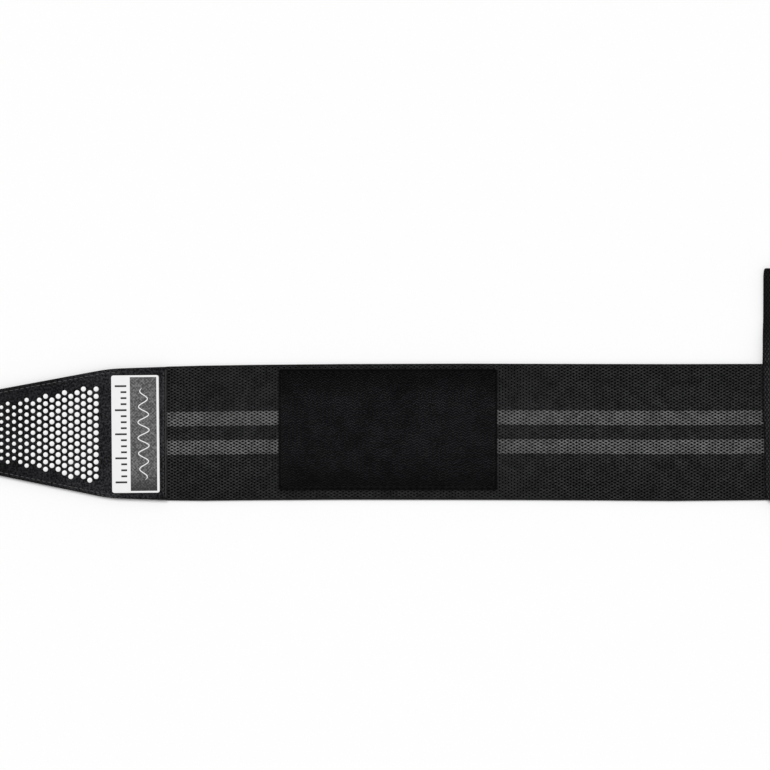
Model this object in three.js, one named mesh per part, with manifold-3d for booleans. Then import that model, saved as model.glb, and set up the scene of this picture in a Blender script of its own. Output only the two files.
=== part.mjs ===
// A wrist wrap for weight training, lying flat with its outer face up.
//
// Woven elastic webbing is the body of the wrap. A tapered pull tab is sewn over its left end, with hook tape under
// the tab and a moulded label on it. A patch of loop pile is sewn on the webbing, and a padded panel is sewn across
// its right end.
//
// Millimetres. +X runs from the tip of the tab to the cross panel, +Y across the webbing, and +Z up from the surface
// that the wrap lies on. Pieces are drawn with x = 0 at the tab's inner edge and y = 0 on the webbing's centreline.

import * as THREE from 'three';
import { mergeVertices } from 'three/addons/utils/BufferGeometryUtils.js';
import Module from 'manifold-3d';

// Clearance between pieces that lie on or beside each other.
const GAP = 0.3;

// Webbing. The open length is the stretch between the tab and the cross panel.
const BAND_WIDTH = 75;
const BAND_THICKNESS = 1.8;
const BAND_OPEN_LENGTH = 327.6;
const BAND_UNDER_TAB = 10;
const BAND_SHORT_OF_PANEL = 3;
const BAND_EDGE_SOFTNESS = 0.5;

// How the webbing's outline wanders: along is a share of the open length, and the centre's offset to +Y and the
// width are shares of the webbing's width.
const BAND_SECTIONS = [
  { along: 0, offset: -0.011, width: 0.982 },
  { along: 0.06, offset: -0.009, width: 0.992 },
  { along: 0.15, offset: -0.004, width: 0.994 },
  { along: 0.3, offset: 0.001, width: 0.996 },
  { along: 0.5, offset: 0.002, width: 1 },
  { along: 0.7, offset: -0.001, width: 1.001 },
  { along: 0.85, offset: -0.004, width: 1.005 },
  { along: 1, offset: 0, width: 1 },
];

// Pull tab: a short straight body over the webbing's end, then a taper to a round tip. The insets are how far each
// side stands in from the webbing's nominal edge.
const TAB_LENGTH = 127;
const TAB_BODY_LENGTH = 31.5;
const TAB_THICKNESS = 1.2;
const TAB_INSET_AT_BAND = 0.8;
const TAB_INSET_AT_SHOULDER = 1.9;
const TAB_SHOULDER_ROUNDING = 7;
const TAB_OFFSET = -0.8;
const TAB_EDGE_SOFTNESS = 0.4;
const TIP_RADIUS = 20.5;

// Hook tape under the tab, level with the webbing.
const HOOK_INSET = 1.2;
const HOOK_EDGE_SOFTNESS = 0.3;

// Moulded label on the tab: a raised frame and column round a sunk field.
const LABEL_LENGTH = 26.8;
const LABEL_THICKNESS = 0.9;
const LABEL_FROM_TAB_EDGE = 3.7;
const LABEL_SIDE_MARGIN = 3;
const LABEL_CORNER_RADIUS = 1.1;
const LABEL_EDGE_SOFTNESS = 0.2;
const LABEL_FRAME = 1.1;
const LABEL_COLUMN = 10.3;
const LABEL_FIELD_DEPTH = 0.25;

// Loop pile sewn on the webbing.
const LOOP_LENGTH = 120.2;
const LOOP_THICKNESS = 1.2;
const LOOP_FROM_TAB = 61.6;
const LOOP_UPPER_MARGIN = 2.7;
const LOOP_LOWER_MARGIN = 5.6;
const LOOP_CORNER_RADIUS = 1.5;
const LOOP_EDGE_SOFTNESS = 0.4;

// Padded panel across the webbing's right end. Its upper part reaches past the webbing and droops to the surface.
const PANEL_LENGTH = 127.6;
const PANEL_WIDTH = 75;
const PANEL_THICKNESS = 3;
const PANEL_EDGE_SOFTNESS = 1;
const PANEL_DROOP_LENGTH = 22;
const PANEL_ROWS = 44;

// How the panel's near edge wanders: up is a share of the panel's length, from the webbing's lower edge, and inset
// is a share of its width.
const PANEL_NEAR_EDGE = [
  { up: 0, inset: 0.04 },
  { up: 0.02, inset: 0.024 },
  { up: 0.07, inset: 0.015 },
  { up: 0.34, inset: 0.011 },
  { up: 0.4, inset: 0.0015 },
  { up: 0.6, inset: 0 },
  { up: 0.7, inset: 0.002 },
  { up: 0.86, inset: 0.009 },
  { up: 0.97, inset: 0.0095 },
  { up: 1, inset: 0.017 },
];

const CURVE_STEPS = 6;
const BEVEL_STEPS = 2;

const wasm = await Module();
wasm.setup();

// A flat piece of cloth, tape or rubber: an outline given a thickness, with its edges rounded over by softness.
function flatPiece(outline, bottom, thickness, softness) {
  const geometry = new THREE.ExtrudeGeometry(outline, {
    depth: thickness - 2 * softness,
    bevelThickness: softness,
    bevelSize: softness,
    bevelOffset: -softness,
    bevelSegments: BEVEL_STEPS,
    curveSegments: CURVE_STEPS,
  });
  return geometry.translate(0, 0, bottom + softness);
}

function roundedRectangle(left, lower, right, upper, radius) {
  const outline = new THREE.Shape();
  outline.absarc(right - radius, lower + radius, radius, -Math.PI / 2, 0);
  outline.absarc(right - radius, upper - radius, radius, 0, Math.PI / 2);
  outline.absarc(left + radius, upper - radius, radius, Math.PI / 2, Math.PI);
  outline.absarc(left + radius, lower + radius, radius, Math.PI, 1.5 * Math.PI);
  return outline;
}

function piece(name, geometry, color, roughness) {
  const material = new THREE.MeshStandardMaterial({ color, roughness, metalness: 0 });
  const mesh = new THREE.Mesh(geometry, material);
  mesh.name = name;
  return mesh;
}

// Elastic webbing, black with two woven grey stripes. It runs on under the tab and under the cross panel.
function elasticBand() {
  const start = -BAND_UNDER_TAB;
  const end = BAND_OPEN_LENGTH + PANEL_WIDTH - BAND_SHORT_OF_PANEL;
  const edge = (side) => BAND_SECTIONS.map(({ along, offset, width }) => new THREE.Vector2(
    along * BAND_OPEN_LENGTH,
    (offset + side * width / 2) * BAND_WIDTH,
  ));
  const lower = edge(-1);
  const upper = edge(1).reverse();
  const outline = new THREE.Shape();
  outline.moveTo(start, lower[0].y);
  outline.lineTo(lower[0].x, lower[0].y);
  outline.splineThru(lower.slice(1));
  outline.lineTo(end, lower.at(-1).y);
  outline.lineTo(end, upper[0].y);
  outline.lineTo(upper[0].x, upper[0].y);
  outline.splineThru(upper.slice(1));
  outline.lineTo(start, upper.at(-1).y);
  return piece('elastic_band', flatPiece(outline, 0, BAND_THICKNESS, BAND_EDGE_SOFTNESS), 0x222223, 0.85);
}

// Where a line from a point touches a circle: the point's direction from the centre, turned to the given side.
function touchingPoint(from, centre, radius, side) {
  const reach = from.clone().sub(centre);
  const turn = side * Math.acos(radius / reach.length());
  const direction = reach.normalize().rotateAround(new THREE.Vector2(), turn);
  return centre.clone().addScaledVector(direction, radius);
}

// Half the tab's width at a distance from its inner edge, along its straight body.
function tabHalfWidth(distance) {
  const share = distance / TAB_BODY_LENGTH;
  return BAND_WIDTH / 2 - THREE.MathUtils.lerp(TAB_INSET_AT_BAND, TAB_INSET_AT_SHOULDER, share);
}

// The tab's outline, drawn in by inset on every side but the inner end, which starts at a distance from x = 0.
function tabOutline(start, inset) {
  const shoulderHalf = tabHalfWidth(TAB_BODY_LENGTH) - inset;
  const startHalf = tabHalfWidth(start) - inset;
  const tipCentre = new THREE.Vector2(TIP_RADIUS - TAB_LENGTH, 0);
  const tipRadius = TIP_RADIUS - inset;
  const corner = (side) => new THREE.Vector2(-TAB_BODY_LENGTH, TAB_OFFSET + side * shoulderHalf);
  const upperCorner = corner(1);
  const lowerCorner = corner(-1);
  const upperTouch = touchingPoint(upperCorner, tipCentre, tipRadius, 1);
  const lowerTouch = touchingPoint(lowerCorner, tipCentre, tipRadius, -1);
  const alongTaper = (from, to) => from.clone().add(to.clone().sub(from).setLength(TAB_SHOULDER_ROUNDING));
  const onBody = (side) => {
    const distance = TAB_BODY_LENGTH - TAB_SHOULDER_ROUNDING;
    return new THREE.Vector2(-distance, TAB_OFFSET + side * (tabHalfWidth(distance) - inset));
  };
  const upperTaper = alongTaper(upperCorner, upperTouch);
  const outline = new THREE.Shape();
  outline.moveTo(-start, TAB_OFFSET - startHalf);
  outline.lineTo(-start, TAB_OFFSET + startHalf);
  outline.lineTo(onBody(1).x, onBody(1).y);
  outline.quadraticCurveTo(upperCorner.x, upperCorner.y, upperTaper.x, upperTaper.y);
  const upperAngle = upperTouch.clone().sub(tipCentre).angle();
  const lowerAngle = lowerTouch.clone().sub(tipCentre).angle();
  outline.absarc(tipCentre.x, tipCentre.y, tipRadius, upperAngle, lowerAngle);
  const lowerTaper = alongTaper(lowerCorner, lowerTouch);
  outline.lineTo(lowerTaper.x, lowerTaper.y);
  outline.quadraticCurveTo(lowerCorner.x, lowerCorner.y, onBody(-1).x, onBody(-1).y);
  return outline;
}

// Heights that the stacked pieces share.
const TAB_BOTTOM = BAND_THICKNESS + GAP;
const LABEL_BOTTOM = TAB_BOTTOM + TAB_THICKNESS + GAP;

// Hook tape, which begins just past the end of the webbing and fills the rest of the tab's underside.
function hookPatch() {
  const outline = tabOutline(BAND_UNDER_TAB + GAP, HOOK_INSET);
  return piece('hook_patch', flatPiece(outline, 0, BAND_THICKNESS, HOOK_EDGE_SOFTNESS), 0x1a1a1b, 0.7);
}

// Face cloth of the pull tab, over the hook tape and the webbing's end.
function endTab() {
  const outline = tabOutline(0, 0);
  return piece('end_tab', flatPiece(outline, TAB_BOTTOM, TAB_THICKNESS, TAB_EDGE_SOFTNESS), 0x1c1c1e, 0.7);
}

// A three.js geometry as a solid that can be cut.
function solidOf(geometry) {
  const bare = geometry.clone();
  bare.deleteAttribute('normal');
  bare.deleteAttribute('uv');
  const merged = mergeVertices(bare);
  return new wasm.Manifold(new wasm.Mesh({
    numProp: 3,
    vertProperties: merged.attributes.position.array,
    triVerts: new Uint32Array(merged.index.array),
  }));
}

function geometryOf(solid) {
  const mesh = solid.getMesh();
  const geometry = new THREE.BufferGeometry();
  geometry.setAttribute('position', new THREE.BufferAttribute(mesh.vertProperties, 3));
  geometry.setIndex(new THREE.BufferAttribute(mesh.triVerts, 1));
  geometry.computeVertexNormals();
  return geometry;
}

// Moulded label. The field is cut into the plate, which leaves a narrow frame and, towards the tip, a broad column.
function tabLabel() {
  const right = -LABEL_FROM_TAB_EDGE;
  const left = right - LABEL_LENGTH;
  const half = tabHalfWidth(TAB_BODY_LENGTH) - LABEL_SIDE_MARGIN;
  const plateOutline = roundedRectangle(left, TAB_OFFSET - half, right, TAB_OFFSET + half, LABEL_CORNER_RADIUS);
  const plate = flatPiece(plateOutline, LABEL_BOTTOM, LABEL_THICKNESS, LABEL_EDGE_SOFTNESS);
  const fieldLeft = left + LABEL_COLUMN;
  const fieldRight = right - LABEL_FRAME;
  const fieldHeight = 2 * (half - LABEL_FRAME);
  const fieldFloor = LABEL_BOTTOM + LABEL_THICKNESS - LABEL_FIELD_DEPTH;
  const cutter = new THREE.BoxGeometry(fieldRight - fieldLeft, fieldHeight, LABEL_THICKNESS);
  cutter.translate((fieldLeft + fieldRight) / 2, TAB_OFFSET, fieldFloor + LABEL_THICKNESS / 2);
  const label = solidOf(plate).subtract(solidOf(cutter));
  return piece('tab_label', geometryOf(label), 0xe8e8e6, 0.55);
}

// Loop pile on its backing, sewn flat on the webbing.
function loopPatch() {
  const lower = -BAND_WIDTH / 2 + LOOP_LOWER_MARGIN;
  const upper = BAND_WIDTH / 2 - LOOP_UPPER_MARGIN;
  const outline = roundedRectangle(
    LOOP_FROM_TAB, lower, LOOP_FROM_TAB + LOOP_LENGTH, upper, LOOP_CORNER_RADIUS,
  );
  const geometry = flatPiece(outline, BAND_THICKNESS + GAP, LOOP_THICKNESS, LOOP_EDGE_SOFTNESS);
  return piece('loop_patch', geometry, 0x161617, 1);
}

// The inset of the panel's near edge at a share of its length, straight between the rows of its table.
function nearEdgeInset(up) {
  const next = Math.max(1, PANEL_NEAR_EDGE.findIndex((row) => row.up >= up));
  const before = PANEL_NEAR_EDGE[next - 1];
  const after = PANEL_NEAR_EDGE[next];
  const share = (up - before.up) / (after.up - before.up);
  return THREE.MathUtils.lerp(before.inset, after.inset, share) * PANEL_WIDTH;
}

// Padded panel. Its side profile lies level over the webbing, then eases down to the surface beyond the webbing's
// upper edge, and is carried along X. Its near edge is then drawn in to follow the table.
function crossPanel() {
  const lowerEnd = -BAND_WIDTH / 2;
  const upperEnd = lowerEnd + PANEL_LENGTH;
  const lift = BAND_THICKNESS + GAP;
  const endRadius = PANEL_THICKNESS / 2;
  const heightAt = (y) => {
    const past = y - BAND_WIDTH / 2 - lift;
    return lift * (1 - THREE.MathUtils.smoothstep(past, 0, PANEL_DROOP_LENGTH)) + endRadius;
  };
  const line = (side) => Array.from({ length: PANEL_ROWS + 1 }, (_, row) => {
    const y = THREE.MathUtils.lerp(lowerEnd + endRadius, upperEnd - endRadius, row / PANEL_ROWS);
    return new THREE.Vector2(y, heightAt(y) + side * endRadius);
  });
  const profile = new THREE.Shape(line(-1));
  profile.absarc(upperEnd - endRadius, heightAt(upperEnd), endRadius, -Math.PI / 2, Math.PI / 2);
  line(1).reverse().forEach(({ x, y }) => profile.lineTo(x, y));
  profile.absarc(lowerEnd + endRadius, heightAt(lowerEnd), endRadius, Math.PI / 2, 1.5 * Math.PI);

  const geometry = flatPiece(profile, 0, PANEL_WIDTH, PANEL_EDGE_SOFTNESS);
  const profileToWrap = new THREE.Matrix4().makeBasis(
    new THREE.Vector3(0, 1, 0), new THREE.Vector3(0, 0, 1), new THREE.Vector3(1, 0, 0),
  );
  geometry.applyMatrix4(profileToWrap);
  const place = geometry.attributes.position;
  for (let index = 0; index < place.count; index += 1) {
    const fromNearEdge = place.getX(index);
    const up = THREE.MathUtils.clamp((place.getY(index) - lowerEnd) / PANEL_LENGTH, 0, 1);
    const drawnIn = nearEdgeInset(up) * (1 - fromNearEdge / PANEL_WIDTH);
    place.setX(index, BAND_OPEN_LENGTH + fromNearEdge + drawnIn);
  }
  return piece('cross_panel', geometry, 0x1d1d1f, 0.9);
}

const wrap = new THREE.Group();
wrap.add(elasticBand(), hookPatch(), endTab(), tabLabel(), loopPatch(), crossPanel());

// The origin is on the surface, under the middle of the whole wrap.
const bounds = new THREE.Box3().setFromObject(wrap);
const middle = bounds.getCenter(new THREE.Vector3());
wrap.position.set(-middle.x, -middle.y, -bounds.min.z);

export default wrap;
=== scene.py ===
"""A wrist wrap for weight training, lying flat on a pale floor with its outer face up. Metres, in the
part's frame: +X from the tip of the pull tab to the cross panel, +Y across the webbing, +Z up."""

import bpy
import numpy as np
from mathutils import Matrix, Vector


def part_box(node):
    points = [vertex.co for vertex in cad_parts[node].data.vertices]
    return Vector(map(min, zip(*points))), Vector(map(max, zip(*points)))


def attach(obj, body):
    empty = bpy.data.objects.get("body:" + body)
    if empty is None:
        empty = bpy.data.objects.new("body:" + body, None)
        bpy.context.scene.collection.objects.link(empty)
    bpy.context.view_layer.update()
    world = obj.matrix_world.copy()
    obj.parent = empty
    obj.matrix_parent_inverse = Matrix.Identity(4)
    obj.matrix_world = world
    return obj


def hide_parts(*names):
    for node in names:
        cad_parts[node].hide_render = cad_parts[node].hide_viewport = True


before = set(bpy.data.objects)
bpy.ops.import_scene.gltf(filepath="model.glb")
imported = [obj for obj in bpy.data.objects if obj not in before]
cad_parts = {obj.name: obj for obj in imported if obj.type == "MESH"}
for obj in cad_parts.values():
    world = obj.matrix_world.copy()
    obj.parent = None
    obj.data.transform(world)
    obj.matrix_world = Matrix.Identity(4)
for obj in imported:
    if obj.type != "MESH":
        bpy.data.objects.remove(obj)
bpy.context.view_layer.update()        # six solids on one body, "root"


# Core of the elastic webbing. Rubber threads and black warp make a flat tape, which shows through the small
# holes of the outer face. It runs on under the pull tab and the cross panel, and its back is ribbed.

MM = 0.001
TURN = 2 * np.pi
BAND_WIDTH = 75 * MM
CORE_TOP = 1.15 * MM
CORE_BACK = 0.6 * MM
CORE_RIB_DEPTH = 0.22 * MM
CORE_STEP = 6 * MM
SELVEDGE = 0.9 * MM
YARN_COUNT = 83
STRIPE_START = 4.5
STRIPE_END = 13.5
STRIPE_FADE = 0.3 * MM

band_low, band_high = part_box("elastic_band")
tab_low, tab_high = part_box("end_tab")
panel_low, panel_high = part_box("cross_panel")
patch_low, patch_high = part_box("loop_patch")
band_middle = panel_low.y + BAND_WIDTH / 2
open_length = panel_low.x - tab_high.x
yarn_pitch = (BAND_WIDTH - 2 * SELVEDGE) / YARN_COUNT
rng = np.random.default_rng(7)

# The webbing's wander. A row is: along the open length, the middle's offset, the width. Each is a share.
WANDER = np.array([
    (-0.031, -0.011, 0.950),
    (-0.005, -0.011, 0.974),
    (0.000, -0.011, 0.982),
    (0.060, -0.009, 0.992),
    (0.150, -0.004, 0.994),
    (0.300, 0.001, 0.996),
    (0.500, 0.002, 1.000),
    (0.700, -0.001, 1.001),
    (0.850, -0.004, 1.005),
    (1.000, 0.000, 1.000),
])


def webbing_y(x, across):
    """Y of a point of the webbing: the middle there plus the distance across times the share of the width
    that the webbing has there. The end that the tab covers is pulled in by its seams."""
    along = (x - tab_high.x) / open_length
    offset = np.interp(along, WANDER[:, 0], WANDER[:, 1])
    width = np.interp(along, WANDER[:, 0], WANDER[:, 2])
    return band_middle + offset * BAND_WIDTH + across * width


def add_piece(name, parts, material, smooth=True, edge=None):
    """A mesh object that rides on the body. Each part is its points and a list of arrays of polygons. edge
    is each point's distance from the piece's edge, which its material may read."""
    points = np.concatenate([part[0].reshape(-1, 3) for part in parts])
    starts = np.cumsum([0] + [part[0].size // 3 for part in parts])
    polygons = [p + start for part, start in zip(parts, starts) for p in part[1]]
    sizes = np.concatenate([np.full(len(p), p.shape[1]) for p in polygons])
    corners = np.concatenate([p.ravel() for p in polygons])
    mesh = bpy.data.meshes.new(name)
    mesh.vertices.add(len(points))
    mesh.vertices.foreach_set("co", points.astype(np.float32).ravel())
    mesh.loops.add(len(corners))
    mesh.loops.foreach_set("vertex_index", corners.astype(np.int32))
    mesh.polygons.add(len(sizes))
    mesh.polygons.foreach_set("loop_start", (np.cumsum(sizes) - sizes).astype(np.int32))
    mesh.update(calc_edges=True)
    mesh.polygons.foreach_set("use_smooth", np.full(len(sizes), smooth))
    mesh.materials.append(material)
    if edge is not None:
        distance = mesh.attributes.new("edge", "FLOAT", "POINT")
        distance.data.foreach_set("value", edge.astype(np.float32).ravel())
    piece = bpy.data.objects.new(name, mesh)
    bpy.context.scene.collection.objects.link(piece)
    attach(piece, "root")
    return piece


def grid_quads(rows, columns):
    """Quads over a grid stored row by row. They face up where rows run to +X and columns to +Y."""
    corner = (np.arange(rows - 1)[:, None] * columns + np.arange(columns - 1)).ravel()
    return np.stack([corner, corner + columns, corner + columns + 1, corner + 1], axis=-1)


def rim_of(rows, columns):
    """Indices round the rim of a grid, anticlockwise seen from above."""
    index = np.arange(rows * columns).reshape(rows, columns)
    return np.concatenate([index[:, 0], index[-1, 1:], index[-2::-1, -1], index[0, -2:0:-1]])


def ring_quads(lower, upper):
    """Quads between two closed rings of indices, or between each pair of two stacks of rings. They face
    outwards where the rings run anticlockwise seen from above."""
    quads = [lower, np.roll(lower, -1, axis=-1), np.roll(upper, -1, axis=-1), upper]
    return np.stack(quads, axis=-1).reshape(-1, 4)


def xyz(x, y, z):
    """Points from their coordinates, which may be arrays or single values."""
    return np.stack(np.broadcast_arrays(x, y, z), axis=-1)


def relief_plate(x, y, relief, back):
    """A closed plate. One face is a grid of heights and the other is flat, at the height back, which may
    lie above or below the relief. A wall joins the two round the rim."""
    rim = rim_of(*x.shape)
    face = xyz(x, y, relief).reshape(-1, 3)
    flat = face[rim] * [1, 1, 0] + [0, 0, back]
    around = x.size + np.arange(len(rim))
    polygons = [grid_quads(*x.shape), ring_quads(around, rim), around[None, ::-1]]
    if back > relief.mean():
        polygons = [p[:, ::-1] for p in polygons]
    return np.concatenate([face, flat]), polygons


def add_node(kind, inputs, **settings):
    """Adds a shader node. inputs maps an input's name or number to its value, or to the output that feeds
    it, and the node goes into the tree that these outputs are in."""
    fed = {name: value for name, value in inputs.items() if isinstance(value, bpy.types.NodeSocket)}
    tree = next(iter(fed.values())).id_data
    made = tree.nodes.new("ShaderNode" + kind)
    for name, value in settings.items():
        setattr(made, name, value)
    for name, value in inputs.items():
        if name in fed:
            tree.links.new(value, made.inputs[name])
        else:
            made.inputs[name].default_value = value
    return made


def new_material(name, roughness, specular, **fixed):
    """A material with these fixed values on its Principled shader. Returns it and the object coordinates,
    which are metres in the part's frame."""
    material = bpy.data.materials.new(name)
    material.use_nodes = True
    shader = material.node_tree.nodes["Principled BSDF"]
    shader.inputs["Roughness"].default_value = roughness
    shader.inputs["Specular IOR Level"].default_value = specular
    for socket, value in fixed.items():
        shader.inputs[socket.replace("_", " ")].default_value = value
    return material, material.node_tree.nodes.new("ShaderNodeTexCoord").outputs["Object"]


def finished(material, colour, height=None, relief=0.0):
    """Feeds the material's colour and, as bump, a height that stands for relief metres where it is 1."""
    tree = material.node_tree
    shader = tree.nodes["Principled BSDF"]
    tree.links.new(colour, shader.inputs["Base Color"])
    if height is not None:
        made = add_node("Bump", {"Distance": relief, "Height": height})
        tree.links.new(made.outputs["Normal"], shader.inputs["Normal"])
    return material


def grey(level, blue=0.0):
    """An opaque grey, with its blue raised by a share."""
    return (level, level, level * (1 + blue), 1)


def mixed(share, low, high, blend="MIX"):
    """A colour between low and high, which may be fixed or fed."""
    return add_node("Mix", {0: share, 6: low, 7: high}, data_type="RGBA", blend_type=blend).outputs[2]


def greys(share, dark, light, blue=0.0):
    """A grey between dark and light."""
    return mixed(share, grey(dark, blue), grey(light, blue))


def shaded(colour, share, dark, light=1.0):
    """A colour times a grey that goes from dark to light with the share."""
    return mixed(1, colour, greys(share, dark, light), "MULTIPLY")


def math(operation, *values):
    """The result of a Math node on one or two values, fixed or fed."""
    return add_node("Math", dict(enumerate(values)), operation=operation).outputs[0]


def weighted(first, weight, second):
    """The first value times its weight, plus the second."""
    return math("ADD", math("MULTIPLY", first, weight), second)


def axis_of(place, axis):
    """One coordinate of a place."""
    return add_node("SeparateXYZ", {0: place}).outputs[axis]


def away_from(value, middle):
    """How far a coordinate lies from a middle, on either side."""
    return math("ABSOLUTE", math("SUBTRACT", value, middle))


def spread(value, low, high):
    """Stretches the values between low and high over 0 to 1, with an even fade at both ends."""
    inputs = {"Value": value, "From Min": low, "From Max": high}
    return add_node("MapRange", inputs, interpolation_type="SMOOTHSTEP").outputs["Result"]


def noise(place, size, detail=2.0):
    """Noise whose blotches are about size metres across."""
    return add_node("TexNoise", {"Vector": place, "Scale": 1 / size, "Detail": detail}).outputs["Fac"]


def fibres(place, scale, size, detail=2.0):
    """Noise drawn out along each axis where the scale is small."""
    return noise(add_node("Mapping", {"Vector": place, "Scale": scale}).outputs[0], size, detail)


def core_material():
    """Nearly black behind the holes of the face, darker than the black of its back: painted shade in the
    holes. The back is black yarn with the two grey stripes.
    """
    material, place = new_material("webbing_core", 1.0, 0.0)
    out = away_from(axis_of(place, "Y"), band_middle)
    start = STRIPE_START * yarn_pitch
    end = STRIPE_END * yarn_pitch
    inside = spread(out, start, start + STRIPE_FADE)
    outside = spread(out, end + STRIPE_FADE, end)
    on_back = spread(axis_of(place, "Z"), CORE_BACK + 0.1 * MM, CORE_BACK - 0.1 * MM)
    tone = fibres(place, (0.3, 1, 1), 0.45 * MM, 3)
    # Painted shade: the face under the holes is near black, darker than the same black yarn on the back.
    ground = greys(tone, 0.001, 0.003)
    black = greys(tone, 0.006, 0.036)
    light = greys(tone, 0.04, 0.15)
    back = mixed(math("MULTIPLY", inside, outside), black, light)
    return finished(material, mixed(on_back, ground, back), tone, 0.15 * MM)


def core_plate():
    """The tape between its selvedges. Its back has a rib for each yarn: the height is half the rib depth
    times one minus the cosine of the place across, with two points to a yarn."""
    steps = int(round((band_high.x - band_low.x) / CORE_STEP))
    x = np.linspace(band_low.x, band_high.x, steps + 1)
    across = np.linspace(-0.5, 0.5, 2 * YARN_COUNT + 1) * (BAND_WIDTH - SELVEDGE)
    ribs = CORE_RIB_DEPTH * (1 - np.cos(np.pi * np.arange(across.size))) / 2
    x, across = np.meshgrid(x, across, indexing="ij")
    return relief_plate(x, webbing_y(x, across), np.broadcast_to(ribs, x.shape), CORE_TOP)


webbing_core = add_piece("webbing_core", [core_plate()], core_material(), smooth=False)
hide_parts("elastic_band")


# Face yarns of the webbing. Each runs the length of the band in waves, and neighbours swing in opposite
# steps, so they touch and part by turns and leave rows of round holes. Two bundles of nine are grey, which
# makes the stripes.

WAVE_PERIOD = 3.25 * MM
WAVE_SWING = 0.35 * MM
WAVE_SAMPLES = 10
YARN_HALF_WIDTH = 0.40 * MM
YARN_NARROWING = 0.17 * MM
YARN_HALF_HEIGHT = 0.33 * MM
YARN_SECTION = np.radians([-15, 50, 130, 195])
YARN_HEIGHT = 1.37 * MM
YARN_LIFT = 0.14 * MM
YARN_JITTER = 0.03 * MM
HIDDEN_REACH = 1.5 * MM


def ring_skin(count, rings, sides):
    """The polygons of closed tubes whose points are stored ring by ring: quads between neighbouring rings,
    and a cap over each tube's first and last ring."""
    index = np.arange(count * rings * sides).reshape(count, rings, sides)
    return [ring_quads(index[:, :-1], index[:, 1:]), index[:, 0, ::-1], index[:, -1]]


def tubes(paths, side, half_width, half_height, angle):
    """Closed tubes round paths, an array of tubes by points. With s the side vector and u the cross product
    of the tangent and s, a ring's points are p + half_width cos(a) s + half_height sin(a) u for each a."""
    count, rings = paths.shape[:2]
    side = np.broadcast_to(side, paths.shape)
    up = np.cross(np.gradient(paths, axis=1), side)
    up /= np.linalg.norm(up, axis=-1, keepdims=True)
    wide = np.broadcast_to(half_width, (count, rings))[..., None, None] * np.cos(angle)[:, None]
    high = np.broadcast_to(half_height, (count, rings))[..., None, None] * np.sin(angle)[:, None]
    points = paths[:, :, None] + wide * side[:, :, None] + high * up[:, :, None]
    return points, ring_skin(count, rings, len(angle))


def wave_yarns(numbers, start, end):
    """Yarns by their numbers from the middle one. y is the yarn's place plus or minus the swing times the
    cosine of its phase. Where it swings furthest it is narrow and high, by the cosine of twice the phase,
    and it spreads out between, so the holes come out round. A little seeded jitter makes them unlike."""
    step = WAVE_PERIOD / WAVE_SAMPLES
    x = np.arange(np.ceil(start / step), np.floor(end / step) + 1) * step
    x = np.broadcast_to(x, (numbers.size, x.size))
    phase = TURN * x / WAVE_PERIOD
    swing = np.where(numbers % 2, -WAVE_SWING, WAVE_SWING)[:, None] * np.cos(phase)
    y = webbing_y(x, numbers[:, None] * yarn_pitch) + swing + rng.normal(0, YARN_JITTER, x.shape)
    z = YARN_HEIGHT + YARN_LIFT * np.cos(2 * phase)
    half_width = YARN_HALF_WIDTH - YARN_NARROWING * np.cos(2 * phase) + rng.normal(0, YARN_JITTER, x.shape)
    return tubes(xyz(x, y, z), [0, 1, 0], half_width, YARN_HALF_HEIGHT, YARN_SECTION)


def face_yarns(name, numbers, material):
    """A bundle of yarns, from the webbing's end under the tab to just under the panel. What the loop patch
    would hide is left out."""
    start = band_low.x
    end = panel_low.x + 2 * HIDDEN_REACH
    y = band_middle + numbers * yarn_pitch
    hidden = (y > patch_low.y + HIDDEN_REACH) & (y < patch_high.y - HIDDEN_REACH)
    stretches = [
        (numbers[hidden], start, patch_low.x + HIDDEN_REACH),
        (numbers[hidden], patch_high.x - HIDDEN_REACH, end),
        (numbers[~hidden], start, end),
    ]
    parts = [wave_yarns(*stretch) for stretch in stretches if stretch[0].size]
    piece = add_piece(name, parts, material)
    return piece


def yarn_material(name, dark, light, blue=0.0, drawn=(0.2, 1, 1)):
    """Textured yarn: faint blotches along the band, a fine mottle and fibres as bump. Painted light and
    shade:
    lighter on its crests and darker down its sides, by height, and darker towards the selvedges. drawn is
    how the fibres are drawn out."""
    material, place = new_material(name, 0.5, 0.13, Sheen_Weight=0.02, Sheen_Roughness=0.4)
    mottle = weighted(noise(place, 7 * MM, 3), 0.5, noise(place, 0.9 * MM))
    yarn = greys(spread(mottle, 0.5, 1.0), dark, light, blue)
    # Painted shade: the yarn is darkened to 0.75 towards the selvedges, for the light falling off across
    # the band's width.
    out = away_from(axis_of(place, "Y"), band_middle)
    yarn = shaded(yarn, spread(out, BAND_WIDTH / 2, 6 * MM), 0.75)
    # Painted light and shade by height: up to 1.5 times lighter on the crests, down to half on the yarn's
    # lower sides.
    height = axis_of(place, "Z")
    painted_crest_light = spread(height, YARN_HEIGHT - 0.07 * MM, YARN_HEIGHT + 0.38 * MM)
    yarn = shaded(yarn, painted_crest_light, 0.5, 1.5)
    return finished(material, yarn, fibres(place, drawn, 0.12 * MM), 0.2 * MM)


yarn_numbers = np.arange(YARN_COUNT) - YARN_COUNT // 2
upper = yarn_numbers > STRIPE_END
middle = np.abs(yarn_numbers) < STRIPE_START
lower = yarn_numbers < -STRIPE_END
in_stripe = ~(upper | middle | lower)
black_yarn = yarn_material("black_yarn", dark=0.008, light=0.040, blue=0.05)
grey_yarn = yarn_material("grey_yarn", dark=0.056, light=0.165)
yarns_upper = face_yarns("yarns_upper", yarn_numbers[upper], black_yarn)
yarns_middle = face_yarns("yarns_middle", yarn_numbers[middle], black_yarn)
yarns_lower = face_yarns("yarns_lower", yarn_numbers[lower], black_yarn)
yarns_grey = face_yarns("yarns_grey", yarn_numbers[in_stripe], grey_yarn)


# Selvedges: a straight cord along each edge of the webbing, where the weft turns back round it.

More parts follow.
